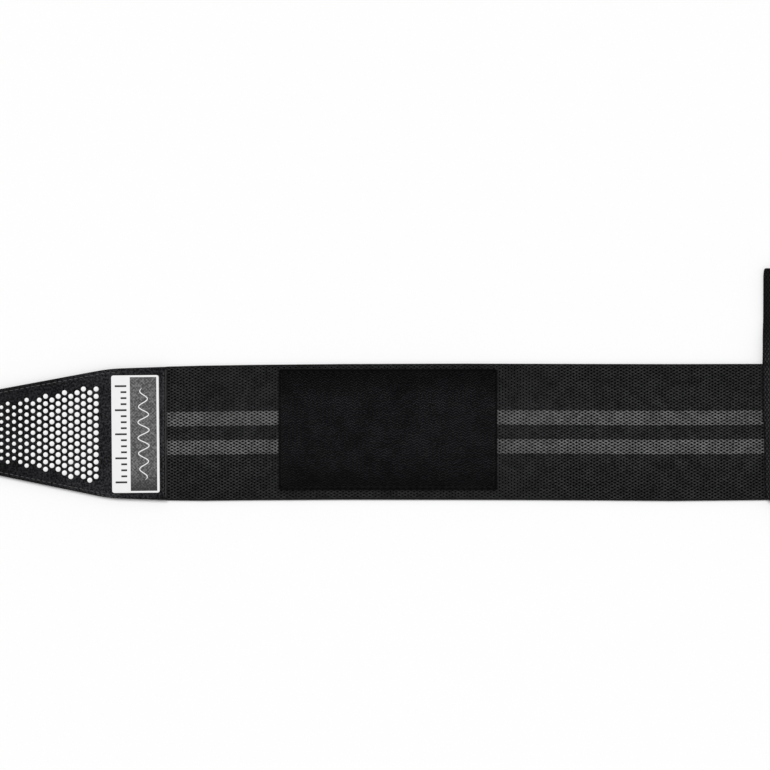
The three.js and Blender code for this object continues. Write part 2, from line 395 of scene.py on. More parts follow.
SELVEDGE_RADIUS = 0.62 * MM
SELVEDGE_HEIGHT = 1.35 * SELVEDGE_RADIUS
SELVEDGE_TALLNESS = 1.25
SELVEDGE_TURN = 0.9 * MM
SELVEDGE_RIPPLE = 0.06


def round_section(sides):
    """The angles of a round tube's points, with one side flat at the bottom."""
    return TURN * (np.arange(sides) + 0.5) / sides - TURN / 4


def selvedge_cords():
    """Two cords whose radius ripples, one step thicker and one thinner by turns."""
    x = np.arange(band_low.x, band_high.x, SELVEDGE_TURN / 2)
    y = webbing_y(x, np.array([[-1], [1]]) * (BAND_WIDTH / 2 - SELVEDGE_RADIUS))
    wide = SELVEDGE_RADIUS * (1 + SELVEDGE_RIPPLE * (-1) ** np.arange(x.size))
    return tubes(xyz(x, y, SELVEDGE_HEIGHT), [0, 1, 0], wide, SELVEDGE_TALLNESS * wide, round_section(6))


# Painted shade: the selvedge yarn is near black, darker than the face yarns, for the shade along the
# webbing's rounded edges.
selvedge_shade_yarn = yarn_material("selvedge_shade_yarn", dark=0.002, light=0.006, drawn=(1, 0.3, 0.3))
selvedges = add_piece("selvedges", [selvedge_cords()], selvedge_shade_yarn)


# Pull tab: black fine-ribbed cloth, cut to a taper with a round tip, turned under and top-stitched round
# its edge. Its straight body covers the end of the webbing, and its underside carries the hook tape.

TAB_BODY = 31.5 * MM
TAB_OFFSET = -0.8 * MM
TAB_HALF_AT_BAND = BAND_WIDTH / 2 - 0.8 * MM
TAB_HALF_AT_SHOULDER = BAND_WIDTH / 2 - 1.9 * MM
TAB_CORNER = 1.5 * MM
TAB_ROUNDING = 7 * MM
TIP_RADIUS = 20.5 * MM
TAB_EDGE_ROUND = 0.9 * MM
TAB_EDGE_WALL = 0.2 * MM
TAB_UNDERSIDE = 1.85 * MM
TAB_PUFF = 0.35 * MM
TAB_PUFF_REACH = 9 * MM
TAB_PUFF_FADE = 12 * MM
TAB_SPINE_INSET = 24 * MM
TAB_RINGS = 44
TAB_RIB = 0.55 * MM
OUTLINE_STEP = 0.7 * MM
STITCH_FROM_EDGE = 2.0 * MM
STITCH_GROOVE = 0.22 * MM
STITCH_GROOVE_HALF = 0.55 * MM

tab_middle = band_middle + TAB_OFFSET


def bend(a, b, c, steps=10):
    """A quadratic bend from a to c round the corner b: (1-t)^2 a + 2t(1-t) b + t^2 c."""
    t = np.linspace(0, 1, steps)[:, None]
    return (1 - t) ** 2 * a + 2 * t * (1 - t) * b + t ** 2 * c


def towards(a, b, distance):
    """The point at a distance from a on the way to b."""
    return a + (b - a) * distance / np.linalg.norm(b - a)


def run_along(path):
    """How far along a path each of its points is."""
    return np.concatenate([[0], np.cumsum(np.linalg.norm(np.diff(path, axis=0), axis=1))])


def spaced(path, step, closed=False):
    """Points at equal spacing along a path."""
    if closed:
        path = np.concatenate([path, path[:1]])
    run = run_along(path)
    at = np.linspace(0, run[-1], max(2, int(round(run[-1] / step))) + 1)
    if closed:
        at = at[:-1]
    return np.stack([np.interp(at, run, path[:, axis]) for axis in range(path.shape[1])], axis=-1)


def tab_outline(inset=0.0, start=0.0, corner=TAB_CORNER):
    """The outline of the tab, anticlockwise, drawn in by inset: its inner end at a distance start from the
    tab's inner edge, two straight sides, two tapers that touch the round of the tip, and the round."""
    end_half = np.interp(start, [0, TAB_BODY], [TAB_HALF_AT_BAND, TAB_HALF_AT_SHOULDER]) - inset
    shoulder_half = TAB_HALF_AT_SHOULDER - inset
    centre = np.array([tab_low.x + TIP_RADIUS, band_middle])
    radius = TIP_RADIUS - inset
    halves = []
    for side in (1, -1):
        end = np.array([tab_high.x - start, tab_middle + side * end_half])
        shoulder = np.array([tab_high.x - TAB_BODY, tab_middle + side * shoulder_half])
        reach = shoulder - centre
        angle = np.arctan2(reach[1], reach[0]) + side * np.arccos(radius / np.linalg.norm(reach))
        touch = centre + radius * np.array([np.cos(angle), np.sin(angle)])
        tip = np.linspace(angle, side * np.pi, 24)
        halves.append(np.concatenate([
            bend(end - [0, side * corner], end, towards(end, shoulder, corner)),
            bend(towards(shoulder, end, TAB_ROUNDING), shoulder, towards(shoulder, touch, TAB_ROUNDING)),
            centre + radius * np.stack([np.cos(tip), np.sin(tip)], axis=-1),
        ]))
    return np.concatenate([halves[0], halves[1][-2::-1]])


def edge_distance(x, y, outline):
    """How far each point lies from a closed outline, by its distance to every straight stretch of it."""
    points = np.stack([x, y], axis=-1).reshape(-1, 1, 2)
    stretch = np.roll(outline, -1, axis=0) - outline
    along = ((points - outline) * stretch).sum(-1) / (stretch ** 2).sum(-1)
    nearest = outline + np.clip(along, 0, 1)[..., None] * stretch
    return np.linalg.norm(points - nearest, axis=-1).min(1).reshape(x.shape)


def rolled_edge(distance, radius, height):
    """The height of a rounded edge at a distance from it: a quarter of an ellipse, then level."""
    share = np.clip(distance / radius, 0, 1)
    return height * np.sqrt(1 - (1 - share) ** 2)


def groove(distance, depth, half_width):
    """The dip that a row of stitches pulls into cloth."""
    return -depth * np.exp(-(distance / half_width) ** 2)


def ring_plate(outline, spine_start, spine_end, rings, top_at, bottom):
    """A closed plate inside an outline. Its rings shrink from the outline to a spine between two points,
    close together near the edge: ring k lies (k / rings)^1.6 of the way. top_at gives a point's height."""
    spine = spine_end - spine_start
    share = ((outline - spine_start) @ spine) / (spine @ spine)
    inner = spine_start + np.clip(share, 0.001, 0.999)[:, None] * spine
    way = (np.arange(rings) / rings)[:, None, None] ** 1.6
    flat = outline * (1 - way) + inner * way
    x, y = flat[..., 0], flat[..., 1]
    count = len(outline)
    top = xyz(x, y, top_at(x, y)).reshape(-1, 3)
    base = xyz(outline[:, 0], outline[:, 1], bottom)
    index = np.arange((rings + 1) * count).reshape(rings + 1, count)
    skin = ring_quads(index[:-2], index[1:-1])
    wall = ring_quads(index[-1], index[0])
    return np.concatenate([top, base]), [skin, wall, index[-2][None], index[-1][None, ::-1]]


outline_of_tab = spaced(tab_outline(), OUTLINE_STEP, closed=True)


def tab_top(x, y):
    """The tab's face: a rolled edge, a groove under the stitches and a low puff between them. The body
    stays level, because the label lies on it."""
    base = TAB_UNDERSIDE + TAB_EDGE_WALL
    distance = edge_distance(x, y, outline_of_tab)
    roll = rolled_edge(distance, TAB_EDGE_ROUND, tab_high.z - base)
    inside = np.clip((distance - STITCH_FROM_EDGE) / TAB_PUFF_REACH, 0, 1)
    in_taper = np.clip((tab_high.x - TAB_BODY - x) / TAB_PUFF_FADE, 0, 1)
    puff = TAB_PUFF * np.sin(inside * TURN / 4) * in_taper
    return base + roll + puff + groove(distance - STITCH_FROM_EDGE, STITCH_GROOVE, STITCH_GROOVE_HALF)


def ribs(place, turn, size, **shape):
    """Parallel ribs about size metres apart, turned about Z by an angle."""
    turned = add_node("Mapping", {"Vector": place, "Rotation": (0, 0, turn)}).outputs[0]
    return add_node("TexWave", {"Vector": turned, "Scale": 0.314 / size, **shape}).outputs["Fac"]


def crossed_ribs(place, turns, size, **shape):
    """Two sets of ribs multiplied, which leaves rows of small knots where they cross."""
    return math("MULTIPLY", *[ribs(place, turn, size, **shape) for turn in turns])


def painted_edge_shade(colour, start, end, dark):
    """Painted shade along a piece's edge: a colour times dark up to the distance start from the edge, and
    all of it from end on.
    """
    edge = colour.id_data.nodes.new("ShaderNodeAttribute")
    edge.attribute_name = "edge"
    return shaded(colour, spread(edge.outputs["Fac"], start, end), dark)


def tab_cloth_material():
    """Fine ribbed cloth: crossing ribs in its bump and its colour, a grain of twice their size, and broad
    soft blotches. A painted sheen makes it a little lighter towards the label, and painted shade makes its
    turned edge darker."""
    material, place = new_material("tab_cloth", 0.7, 0.06, Sheen_Weight=0.04, Sheen_Roughness=0.35)
    crossed = crossed_ribs(place, (0.175 * TURN, -0.25 * TURN), TAB_RIB, Distortion=1.2, Detail=1.0)
    grain = spread(noise(place, 2 * TAB_RIB, 1), 0.3, 0.7)
    uneven = weighted(grain, 0.9, noise(place, 12 * MM, 3))
    tone = spread(math("ADD", crossed, uneven), 0.8, 1.6)
    cloth = greys(tone, 0.001, 0.0235, 0.13)
    # Painted sheen: up to 1.5 times lighter towards the label.
    painted_sheen = spread(axis_of(place, "X"), tab_high.x - 75 * MM, tab_high.x - 38 * MM)
    cloth = shaded(cloth, painted_sheen, 0.85, 1.5)
    # Painted shade along the tab's turned edge.
    cloth = painted_edge_shade(cloth, 0, 1.1 * MM, 0.3)
    return finished(material, cloth, math("ADD", crossed, noise(place, TAB_RIB)), 0.16 * MM)


spine_start = np.array([tab_high.x - TAB_SPINE_INSET, tab_middle])
spine_end = np.array([tab_low.x + TIP_RADIUS, band_middle])
tab_plate = ring_plate(outline_of_tab, spine_start, spine_end, TAB_RINGS, tab_top, TAB_UNDERSIDE)
tab_edge = edge_distance(tab_plate[0][:, 0], tab_plate[0][:, 1], outline_of_tab)
pull_tab = add_piece("pull_tab", [tab_plate], tab_cloth_material(), edge=tab_edge)
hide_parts("end_tab")


# Hook tape, sewn under the tab: a black nylon ground with rows of small stiff hooks, which face each way by
# turns and reach down to the floor.

TAPE_INSET = 1.2 * MM
TAPE_START = 10.3 * MM
TAPE_STEP = 1.5 * MM
TAPE_GROUND = 0.95 * MM
HOOK_PITCH = 1.85 * MM
HOOK_THICKNESS = 0.09 * MM
HOOK_MARGIN = 2.2 * MM
HOOK_AHEAD = np.array([0, 0, 0.02, 0.14, 0.33, 0.44]) * MM
HOOK_HEIGHT = np.array([1.0, 0.6, 0.3, 0.12, 0.11, 0.24]) * MM

tape_low, tape_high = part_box("hook_patch")


def tape_ground(outline):
    """A closed plate between the ground's height and the top of the tape."""
    lower, upper = np.arange(2 * len(outline)).reshape(2, -1)
    levels = [xyz(outline[:, 0], outline[:, 1], z) for z in (TAPE_GROUND, tape_high.z)]
    return np.concatenate(levels), [ring_quads(lower, upper), lower[None, ::-1], upper[None]]


def well_inside(x, y, outline, margin):
    """Which points lie within an outline like the tab's and further than a margin from it. The outline's
    lower and upper half give the reach of y at each x."""
    reach = []
    for half in (outline[outline[:, 1] < band_middle], outline[outline[:, 1] > band_middle]):
        half = half[np.argsort(half[:, 0])]
        reach.append(np.interp(x, half[:, 0], half[:, 1]))
    return (y > reach[0]) & (y < reach[1]) & (edge_distance(x, y, outline) > margin)


def hooks(outline):
    """Hooks on a staggered grid inside the tape. Each goes down from the ground and curls up at its end."""
    columns = np.arange(tape_low.x, tape_high.x, HOOK_PITCH)
    x, y = np.meshgrid(columns, np.arange(tape_low.y, tape_high.y, HOOK_PITCH), indexing="ij")
    y = y + HOOK_PITCH / 2 * (np.arange(x.shape[0]) % 2)[:, None]
    facing = np.where(np.arange(x.shape[1]) % 2, 1, -1) * np.ones(x.shape)
    keep = well_inside(x, y, outline, HOOK_MARGIN)
    path_x = x[keep][:, None] + facing[keep][:, None] * HOOK_AHEAD
    paths = xyz(path_x, y[keep][:, None], HOOK_HEIGHT)
    return tubes(paths, [0, 1, 0], HOOK_THICKNESS, HOOK_THICKNESS, round_section(4))


def hook_material():
    """Black nylon: a satin gloss on the hooks, and a fine weave on the ground."""
    material, place = new_material("hook_nylon", 0.38, 0.4)
    nylon = greys(noise(place, 0.7 * MM), 0.008, 0.02)
    weave = add_node("TexVoronoi", {"Vector": place, "Scale": 1 / (0.45 * MM)}).outputs["Distance"]
    return finished(material, nylon, weave, 0.05 * MM)


tape_outline = spaced(tab_outline(TAPE_INSET, TAPE_START), TAPE_STEP, closed=True)
hook_nylon = hook_material()
hook_tape = add_piece("hook_tape", [tape_ground(tape_outline)], hook_nylon, smooth=False)
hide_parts("hook_patch")
tape_hooks = add_piece("tape_hooks", [hooks(tape_outline)], hook_nylon, smooth=False)


# Top-stitching of the tab in charcoal thread: one row round the edge, a second across the seam over the
# webbing, and a short overlock along the lower taper. A stitch is an arch that dips in at its ends.

STITCH_LENGTH = 2.3 * MM
STITCH_SPACE = 0.7 * MM
STITCH_SINK = 0.28 * MM
STITCH_PROUD = 0.7
THREAD_HALF_WIDTH = 0.2 * MM
THREAD_HALF_HEIGHT = 0.15 * MM
THREAD_NARROWING = 0.35
SEAM_FROM_EDGE = 1.7 * MM
SEAM_SHORT_OF_ROW = 1 * MM
OVERLOCK_FROM_EDGE = 0.75 * MM
OVERLOCK_START = 3 * MM
OVERLOCK_LENGTH = 88 * MM


def level_sides(paths):
    """Unit vectors across each path, level with the floor."""
    side = np.cross([0, 0, 1], np.gradient(paths, axis=1))
    return side / np.linalg.norm(side, axis=-1, keepdims=True)


def stitches(path, height_at, length=STITCH_LENGTH, space=STITCH_SPACE, thread=1.0):
    """Stitches along a path in the plane. Each follows the path for its length, and its height is the
    cloth's there plus most of the thread's, less the sink times the fourth power of the way from its
    middle to its end."""
    fine = spaced(path, 0.1 * MM)
    run = run_along(fine)
    count = int(run[-1] // (length + space))
    share = np.linspace(-1, 1, 6)
    at = (np.arange(count)[:, None] + 0.5) * run[-1] / count + share * length / 2
    x = np.interp(at, run, fine[:, 0])
    y = np.interp(at, run, fine[:, 1])
    z = height_at(x, y) + THREAD_HALF_HEIGHT * STITCH_PROUD - STITCH_SINK * share ** 4
    paths = xyz(x, y, z)
    swell = thread * (1 - THREAD_NARROWING * share ** 4)
    section = round_section(6)
    return tubes(paths, level_sides(paths), THREAD_HALF_WIDTH * swell, THREAD_HALF_HEIGHT * swell, section)


def thread_material(name, dark, light):
    """Twisted thread: a mottle along it and slanting plies as bump."""
    material, place = new_material(name, 0.6, 0.12)
    thread = greys(noise(place, 0.8 * MM), dark, light)
    return finished(material, thread, ribs(place, TURN / 8, 0.35 * MM), 0.05 * MM)


stitch_line = tab_outline(inset=STITCH_FROM_EDGE, corner=0.3 * MM)
round_edge = stitch_line[stitch_line[:, 0] < tab_high.x - 0.5 * MM]
seam_half = TAB_HALF_AT_BAND - STITCH_FROM_EDGE - SEAM_SHORT_OF_ROW
seam = np.array([[tab_high.x - SEAM_FROM_EDGE, tab_middle + side * seam_half] for side in (-1, 1)])
overlock = tab_outline(inset=OVERLOCK_FROM_EDGE, corner=0.3 * MM)
beside_label = tab_high.x - OVERLOCK_START
in_reach = (overlock[:, 0] < beside_label) & (overlock[:, 0] > beside_label - OVERLOCK_LENGTH)
overlock = overlock[in_reach & (overlock[:, 1] < band_middle)]
rows_on_tab = [
    stitches(round_edge, tab_top, thread=1.1),
    stitches(seam, tab_top, length=1.5 * MM, space=0.5 * MM),
    stitches(overlock, tab_top, length=1.3 * MM, space=0.9 * MM, thread=0.8),
]
charcoal_thread = thread_material("charcoal_thread", dark=0.035, light=0.11)
tab_stitches = add_piece("tab_stitches", rows_on_tab, charcoal_thread)


# Fold line of the tab's inner edge: the cloth is turned under there, and the fold catches the light as a
# thin grey line beside the webbing.

FOLD_RADIUS = 0.22 * MM
FOLD_SINK = 0.35 * MM


def fold_line():
    """A straight tube along the inner edge, between the tab's corners."""
    y = tab_middle + np.linspace(-1, 1, 60) * (TAB_HALF_AT_BAND - TAB_CORNER)
    path = xyz(tab_high.x - FOLD_RADIUS, y, tab_high.z - FOLD_SINK)
    return tubes(path[None], [1, 0, 0], FOLD_RADIUS, FOLD_RADIUS, round_section(8))


# Painted highlight: the fold's tube is light grey, lighter than the tab cloth it is turned from, for the
# light the fold catches.
tab_fold = add_piece("tab_fold", [fold_line()], thread_material("fold_highlight", dark=0.05, light=0.09))


# Grip print on the tab: low domes of white silicone in a staggered field, which grow from the tip to the
# label. They are printed on and cured.

DOT_PITCH = 4.0 * MM
DOT_SMALL = 0.75 * MM
DOT_LARGE = 1.5 * MM
DOT_HEIGHT = 0.3 * MM
DOT_SINK = 0.08 * MM
DOT_MARGIN = 7.5 * MM
DOT_FIELD_END = 5.5 * MM
DOT_SMALL_UP_TO = 15 * MM
DOT_LARGE_FOR = 25 * MM
DOT_ROWS = 12
DOT_SIDES = 14
DOT_RINGS = 4


def grip_dots():
    """Domes on a staggered grid inside the tab's outline. A dome's ring k has the radius r cos(a) and the
    height h sin(a), where a runs from 0 at the cloth to near a quarter turn at its top."""
    near = tab_high.x - TAB_BODY - DOT_FIELD_END
    column_pitch = DOT_PITCH * 0.866
    columns = np.arange(int((near - tab_low.x) / column_pitch))
    column, row = np.meshgrid(columns, np.arange(-DOT_ROWS, DOT_ROWS + 1), indexing="ij")
    x = (near - DOT_LARGE - column * column_pitch).ravel()
    y = (band_middle + TAB_OFFSET / 2 + (row + (column % 2) / 2) * DOT_PITCH).ravel()
    keep = well_inside(x, y, outline_of_tab, DOT_MARGIN)
    x, y = x[keep], y[keep]
    radius = np.interp(x, [tab_low.x + DOT_SMALL_UP_TO, near - DOT_LARGE_FOR], [DOT_SMALL, DOT_LARGE])
    rise = np.linspace(0, 0.24 * TURN, DOT_RINGS)
    angle = TURN * np.arange(DOT_SIDES) / DOT_SIDES
    ring = radius[:, None] * np.cos(rise)
    px = x[:, None, None] + ring[..., None] * np.cos(angle)
    py = y[:, None, None] + ring[..., None] * np.sin(angle)
    pz = (tab_top(x, y) - DOT_SINK)[:, None] + DOT_HEIGHT * np.sin(rise)
    return xyz(px, py, pz[..., None]), ring_skin(x.size, DOT_RINGS, DOT_SIDES)


def silicone(name, level):
    """Screen-printed silicone: softly glossy, slightly uneven in tone and surface."""
    material, place = new_material(name, 0.42, 0.4)
    tone = greys(noise(place, 2 * MM, 3), level * 0.94, level)
    return finished(material, tone, noise(place, 0.5 * MM), 0.03 * MM)


white_silicone = silicone("white_silicone", level=0.86)
tab_print = add_piece("tab_grip_dots", [grip_dots()], white_silicone)


# Label: moulded soft rubber, stitched down on the tab's body. A white frame and a broad white column stand
# round a sunk grey field with a fine twill grain.

LABEL_FRAME = 1.1 * MM
LABEL_FRAME_RIGHT = 1.4 * MM
LABEL_TURN = 0.0095
LABEL_COLUMN = 10.3 * MM
LABEL_FIELD_DEPTH = 0.3 * MM
LABEL_FIELD_WALL = 0.16 * MM
LABEL_CORNER = 1.3 * MM
LABEL_EDGE_ROUND = 0.35 * MM
LABEL_SETTLED = 0.35 * MM
LABEL_TRIM_LEFT = 0.6 * MM
LABEL_TRIM_HIGH = 0.6 * MM
LABEL_STEP = 0.6 * MM
LABEL_TWILL = 1.25 * MM

label_low, label_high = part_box("tab_label")
label_low.x += LABEL_TRIM_LEFT
label_high.y -= LABEL_TRIM_HIGH
label_face = label_high.z - LABEL_SETTLED / 2
label_centre = np.array(label_low + label_high) / 2
field_low = np.array([label_low.x + LABEL_COLUMN, label_low.y + LABEL_FRAME])
field_high = np.array([label_high.x - LABEL_FRAME_RIGHT, label_high.y - LABEL_FRAME])


def clustered(low, high, step, edges, reach, fine):
    """Grid lines from low to high: one every step, and a cluster at spacing fine within reach of each
    edge."""
    lines = [np.linspace(low, high, int(round((high - low) / step)) + 1)]
    for edge in edges:
        lines.append(np.arange(edge - reach, edge + reach + fine / 2, fine))
    lines = np.concatenate(lines)
    lines = np.unique(np.round(lines[(lines >= low) & (lines <= high)] / MM, 3)) * MM
    keep = np.concatenate([[True], np.diff(lines) > fine * 0.4])
    keep[-1] = True
    return lines[keep]


def rounded(x, y, low, high, radius):
    """Draws the corners of a rectangular grid in to quarter circles: in the square of side radius at each
    corner, a point moves along its ray from the circle's centre by the ratio of the square's reach to the
    circle's. Returns x and y there, and how far each point is from the edge."""
    from_x = x - (low[0] + high[0]) / 2
    from_y = y - (low[1] + high[1]) / 2
    beyond_x = np.clip(np.abs(from_x) - (high[0] - low[0]) / 2 + radius, 0, radius)
    beyond_y = np.clip(np.abs(from_y) - (high[1] - low[1]) / 2 + radius, 0, radius)
    ratio = np.maximum(beyond_x, beyond_y) / np.maximum(np.hypot(beyond_x, beyond_y), 1e-12)
    edge = np.minimum(np.minimum(x - low[0], high[0] - x), np.minimum(y - low[1], high[1] - y))
    moved_x = x - np.sign(from_x) * beyond_x * (1 - ratio)
    moved_y = y - np.sign(from_y) * beyond_y * (1 - ratio)
    return moved_x, moved_y, edge


def plate_grid(low, high, step, corner, reach, fine, inner_x=(), inner_y=()):
    """A grid over a rectangle with rounded corners, fine within reach of its edges and of the inner lines.
    Returns x, y and how far each point is from the edge."""
    x = clustered(low[0], high[0], step, [low[0], *inner_x, high[0]], reach, fine)
    y = clustered(low[1], high[1], step, [low[1], *inner_y, high[1]], reach, fine)
    x, y = np.meshgrid(x, y, indexing="ij")
    return rounded(x, y, low, high, corner)


def smooth_step(value):
    """0 below 0, 1 above 1, and 3t^2 - 2t^3 between."""
    t = np.clip(value, 0, 1)
    return t * t * (3 - 2 * t)


def askew(points, turn=LABEL_TURN):
    """Points turned about the label's centre, because it is sewn on a little out of square."""
    rotation = np.array([[np.cos(turn), np.sin(turn), 0], [-np.sin(turn), np.cos(turn), 0], [0, 0, 1]])
    return (points - label_centre) @ rotation + label_centre


def label_plate():
    """The label's face: a rolled edge, and the field sunk by its depth inside the frame."""
    inner = ((field_low[0], field_high[0]), (field_low[1], field_high[1]))
    x, y, edge = plate_grid(label_low, label_high, LABEL_STEP, LABEL_CORNER, 0.4 * MM, 0.08 * MM, *inner)
    into_x = np.minimum(x - field_low[0], field_high[0] - x)
    into_y = np.minimum(y - field_low[1], field_high[1] - y)
    sunk = LABEL_FIELD_DEPTH * smooth_step(np.minimum(into_x, into_y) / LABEL_FIELD_WALL + 0.5)
    roll = rolled_edge(edge, LABEL_EDGE_ROUND, LABEL_EDGE_ROUND)
    top = label_face - LABEL_EDGE_ROUND + roll - sunk
    points, polygons = relief_plate(x, y, top, label_low.z - LABEL_SETTLED)
    return askew(points), polygons


def label_material():
    """White rubber, grey inside the field, where two crossing twills of light and dark give a mottle."""
    material, place = new_material("label_rubber", 0.5, 0.35)
    back = askew(np.zeros(3), -LABEL_TURN)
    square = {"Vector": place, "Rotation": (0, 0, -LABEL_TURN), "Location": back}
    square = add_node("Mapping", square).outputs[0]
    inside = 1.0
    for axis, low, high in (("X", field_low[0], field_high[0]), ("Y", field_low[1], field_high[1])):
        value = axis_of(square, axis)
        above = spread(value, low - 0.05 * MM, low + 0.05 * MM)
        below = spread(value, high + 0.05 * MM, high - 0.05 * MM)
        inside = math("MULTIPLY", math("MULTIPLY", above, below), inside)
    crossed = crossed_ribs(place, (TURN / 8, -TURN / 8), LABEL_TWILL, Distortion=1.5)
    mottle = math("MULTIPLY", noise(place, 1.1 * MM, 4), 1.6)
    tone = spread(weighted(crossed, 0.3, mottle), 0.65, 1.2)
    lower_end = spread(axis_of(square, "Y"), label_low.y - 1 * MM, label_low.y + 14 * MM)
    field = shaded(greys(tone, 0.038, 0.165), lower_end, 0.15)
    frame_white = greys(noise(place, 3 * MM, 3), 0.78, 0.83)
    grain = math("MULTIPLY", tone, inside)
    return finished(material, mixed(inside, frame_white, field), grain, 0.1 * MM)


label = add_piece("label", [label_plate()], label_material())
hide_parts("tab_label")


# Marks on the label: a plain scale of black ticks in the white column, every fourth one long, and a plain
# white wave line along the grey field. Both are raised rubber.

TICK_PITCH = 3.3 * MM
TICK_HALF = 0.55 * MM
TICK_RISE = 0.09 * MM
TICK_LONG = 6.4 * MM
TICK_SHORT = 3.2 * MM
TICK_COUNT = 17
LINE_PERIOD = 8.6 * MM
LINE_SWING = 3.1 * MM
LINE_CALMING = 0.45
LINE_HALF_WIDTH = 0.3 * MM
LINE_RISE = 0.14 * MM
LINE_END = 6 * MM

label_middle = (label_low.y + label_high.y) / 2
column_middle = label_low.x + LABEL_COLUMN / 2


def scale_ticks():
    """Bars across the column at equal spacing, flattened tubes with their ends drawn in."""
    number = np.arange(TICK_COUNT) - TICK_COUNT // 2
    length = np.where(number % 4 == 0, TICK_LONG, TICK_SHORT)[:, None]
    share = np.array([-1, -0.97, -0.5, 0.5, 0.97, 1]) / 2
    ends = np.array([0.55, 1, 1, 1, 1, 0.55])
    x = column_middle + TICK_LONG / 2 - length / 2 + share * length
    paths = xyz(x, (label_middle + number * TICK_PITCH)[:, None], label_face)
    return tubes(askew(paths), [0, 1, 0], TICK_HALF * ends, TICK_RISE * ends, round_section(8))


def wave_line():
    """x swings about the middle of the field by a sine of y, more in the middle of its length than at its
    ends, where the line also thins out."""
    share = np.linspace(-1, 1, 240)
    half = (field_high[1] - field_low[1]) / 2 - LINE_END
    y = label_middle + share * half
    swing = LINE_SWING * (1 - LINE_CALMING * share ** 2)
    x = (field_low[0] + field_high[0]) / 2 + swing * np.sin(TURN * share * half / LINE_PERIOD)
    paths = askew(xyz(x, y, label_face - LABEL_FIELD_DEPTH))[None]
    taper = np.sqrt(np.clip((1 - np.abs(share)) * 12, 0.04, 1))
    return tubes(paths, level_sides(paths), LINE_HALF_WIDTH * taper, LINE_RISE * taper, round_section(8))


label_ticks = add_piece("label_ticks", [scale_ticks()], silicone("black_rubber", level=0.005))
label_line = add_piece("label_wave_line", [wave_line()], white_silicone)


# Loop patch: black loop pile on a thin backing, sewn flat on the webbing. The backing's face is uneven, and
# loops of fine yarn stand on it in zigzag rows.

PATCH_STEP = 0.75 * MM
PATCH_CORNER = 1.5 * MM
PATCH_EDGE_ROUND = 0.8 * MM
PATCH_EDGE_WALL = 0.3 * MM
PATCH_NAP = 0.22 * MM
PATCH_UNDERSIDE = 1.75 * MM
PATCH_STITCH = 1.8 * MM
PATCH_GROOVE = 0.25 * MM
PATCH_GROOVE_HALF = 0.6 * MM
LOOP_PITCH = 0.72 * MM
LOOP_ROW = 1.45 * MM
LOOP_MARGIN = 0.9 * MM
LOOP_SCATTER = 0.08 * MM
LOOP_LEAN = 0.25 * MM
LOOP_SINK = 0.1 * MM
LOOP_HALF_SPAN = 0.46 * MM
LOOP_HEIGHT = 0.34 * MM
LOOP_THREAD = 0.13 * MM
ZIGZAG_PERIOD = 5 * LOOP_PITCH
ZIGZAG_SWING = 0.6 * MM


def patch_nap(x, y):
    """Uneven nap: four crossing sine waves of unlike lengths, added up and scaled to at most 1."""
    waves = ((1.9, 0.7), (-1.3, 2.3), (3.7, -2.9), (0.4, 5.1))
    return sum(np.sin((a * x + b * y) / MM) for a, b in waves) / len(waves)


def patch_plate():
    """The backing: a rolled edge, a groove under its stitches and the nap."""
    x, y, edge = plate_grid(patch_low, patch_high, PATCH_STEP, PATCH_CORNER, 0.9 * MM, 0.18 * MM)
    height = patch_high.z - PATCH_UNDERSIDE - PATCH_NAP
    roll = rolled_edge(edge, PATCH_EDGE_ROUND, height - PATCH_EDGE_WALL) + PATCH_EDGE_WALL
    nap = PATCH_NAP * patch_nap(x, y) * smooth_step(edge / MM)
    dip = groove(edge - PATCH_STITCH, PATCH_GROOVE, PATCH_GROOVE_HALF)
    return relief_plate(x, y, PATCH_UNDERSIDE + roll + nap + dip, PATCH_UNDERSIDE)


def pile_loops():
    """Loops of yarn in zigzag rows. A row's y goes up and down by the swing in even slants, and each loop
    heads along its slant, a little off its place and its heading. It is half an ellipse over its span,
    bowed sideways."""
    inset = LOOP_MARGIN + ZIGZAG_SWING
    rows = np.arange(patch_low.y + inset, patch_high.y - inset, LOOP_ROW)
    columns = np.arange(patch_low.x + LOOP_MARGIN, patch_high.x - LOOP_MARGIN, LOOP_PITCH)
    row, column = np.meshgrid(rows, columns, indexing="ij")
    phase = ((column - patch_low.x - LOOP_MARGIN) / ZIGZAG_PERIOD + 0.125) % 1
    foot = np.stack([column, row + ZIGZAG_SWING * (4 * np.abs(phase - 0.5) - 1)], axis=-1).reshape(-1, 2)
    count = len(foot)
    foot = foot + rng.normal(0, LOOP_SCATTER, foot.shape)
    slant = np.arctan(4 * ZIGZAG_SWING / ZIGZAG_PERIOD)
    heading = np.where(phase.ravel() < 0.5, -slant, slant) + rng.normal(0, 0.2, count)
    size = rng.uniform(0.8, 1.2, count)[:, None]
    lean = rng.uniform(-LOOP_LEAN, LOOP_LEAN, count)[:, None]
    arc = np.linspace(0, np.pi, 5)
    along = -np.cos(arc) * LOOP_HALF_SPAN * size
    rise = np.sin(arc) * LOOP_HEIGHT * size
    ahead = np.stack([np.cos(heading), np.sin(heading)], axis=-1)[:, None]
    aside = np.stack([-np.sin(heading), np.cos(heading)], axis=-1)[:, None]
    flat = foot[:, None] + along[..., None] * ahead + (np.sin(arc) * lean)[..., None] * aside
    ground = patch_high.z - PATCH_NAP + PATCH_NAP * patch_nap(flat[..., 0], flat[..., 1]) - LOOP_SINK
    paths = np.concatenate([flat, (ground + rise)[..., None]], axis=-1)
    side = np.concatenate([np.broadcast_to(aside, flat.shape), np.zeros(flat.shape[:2] + (1,))], axis=-1)
    return tubes(paths, side, LOOP_THREAD, LOOP_THREAD, round_section(3))


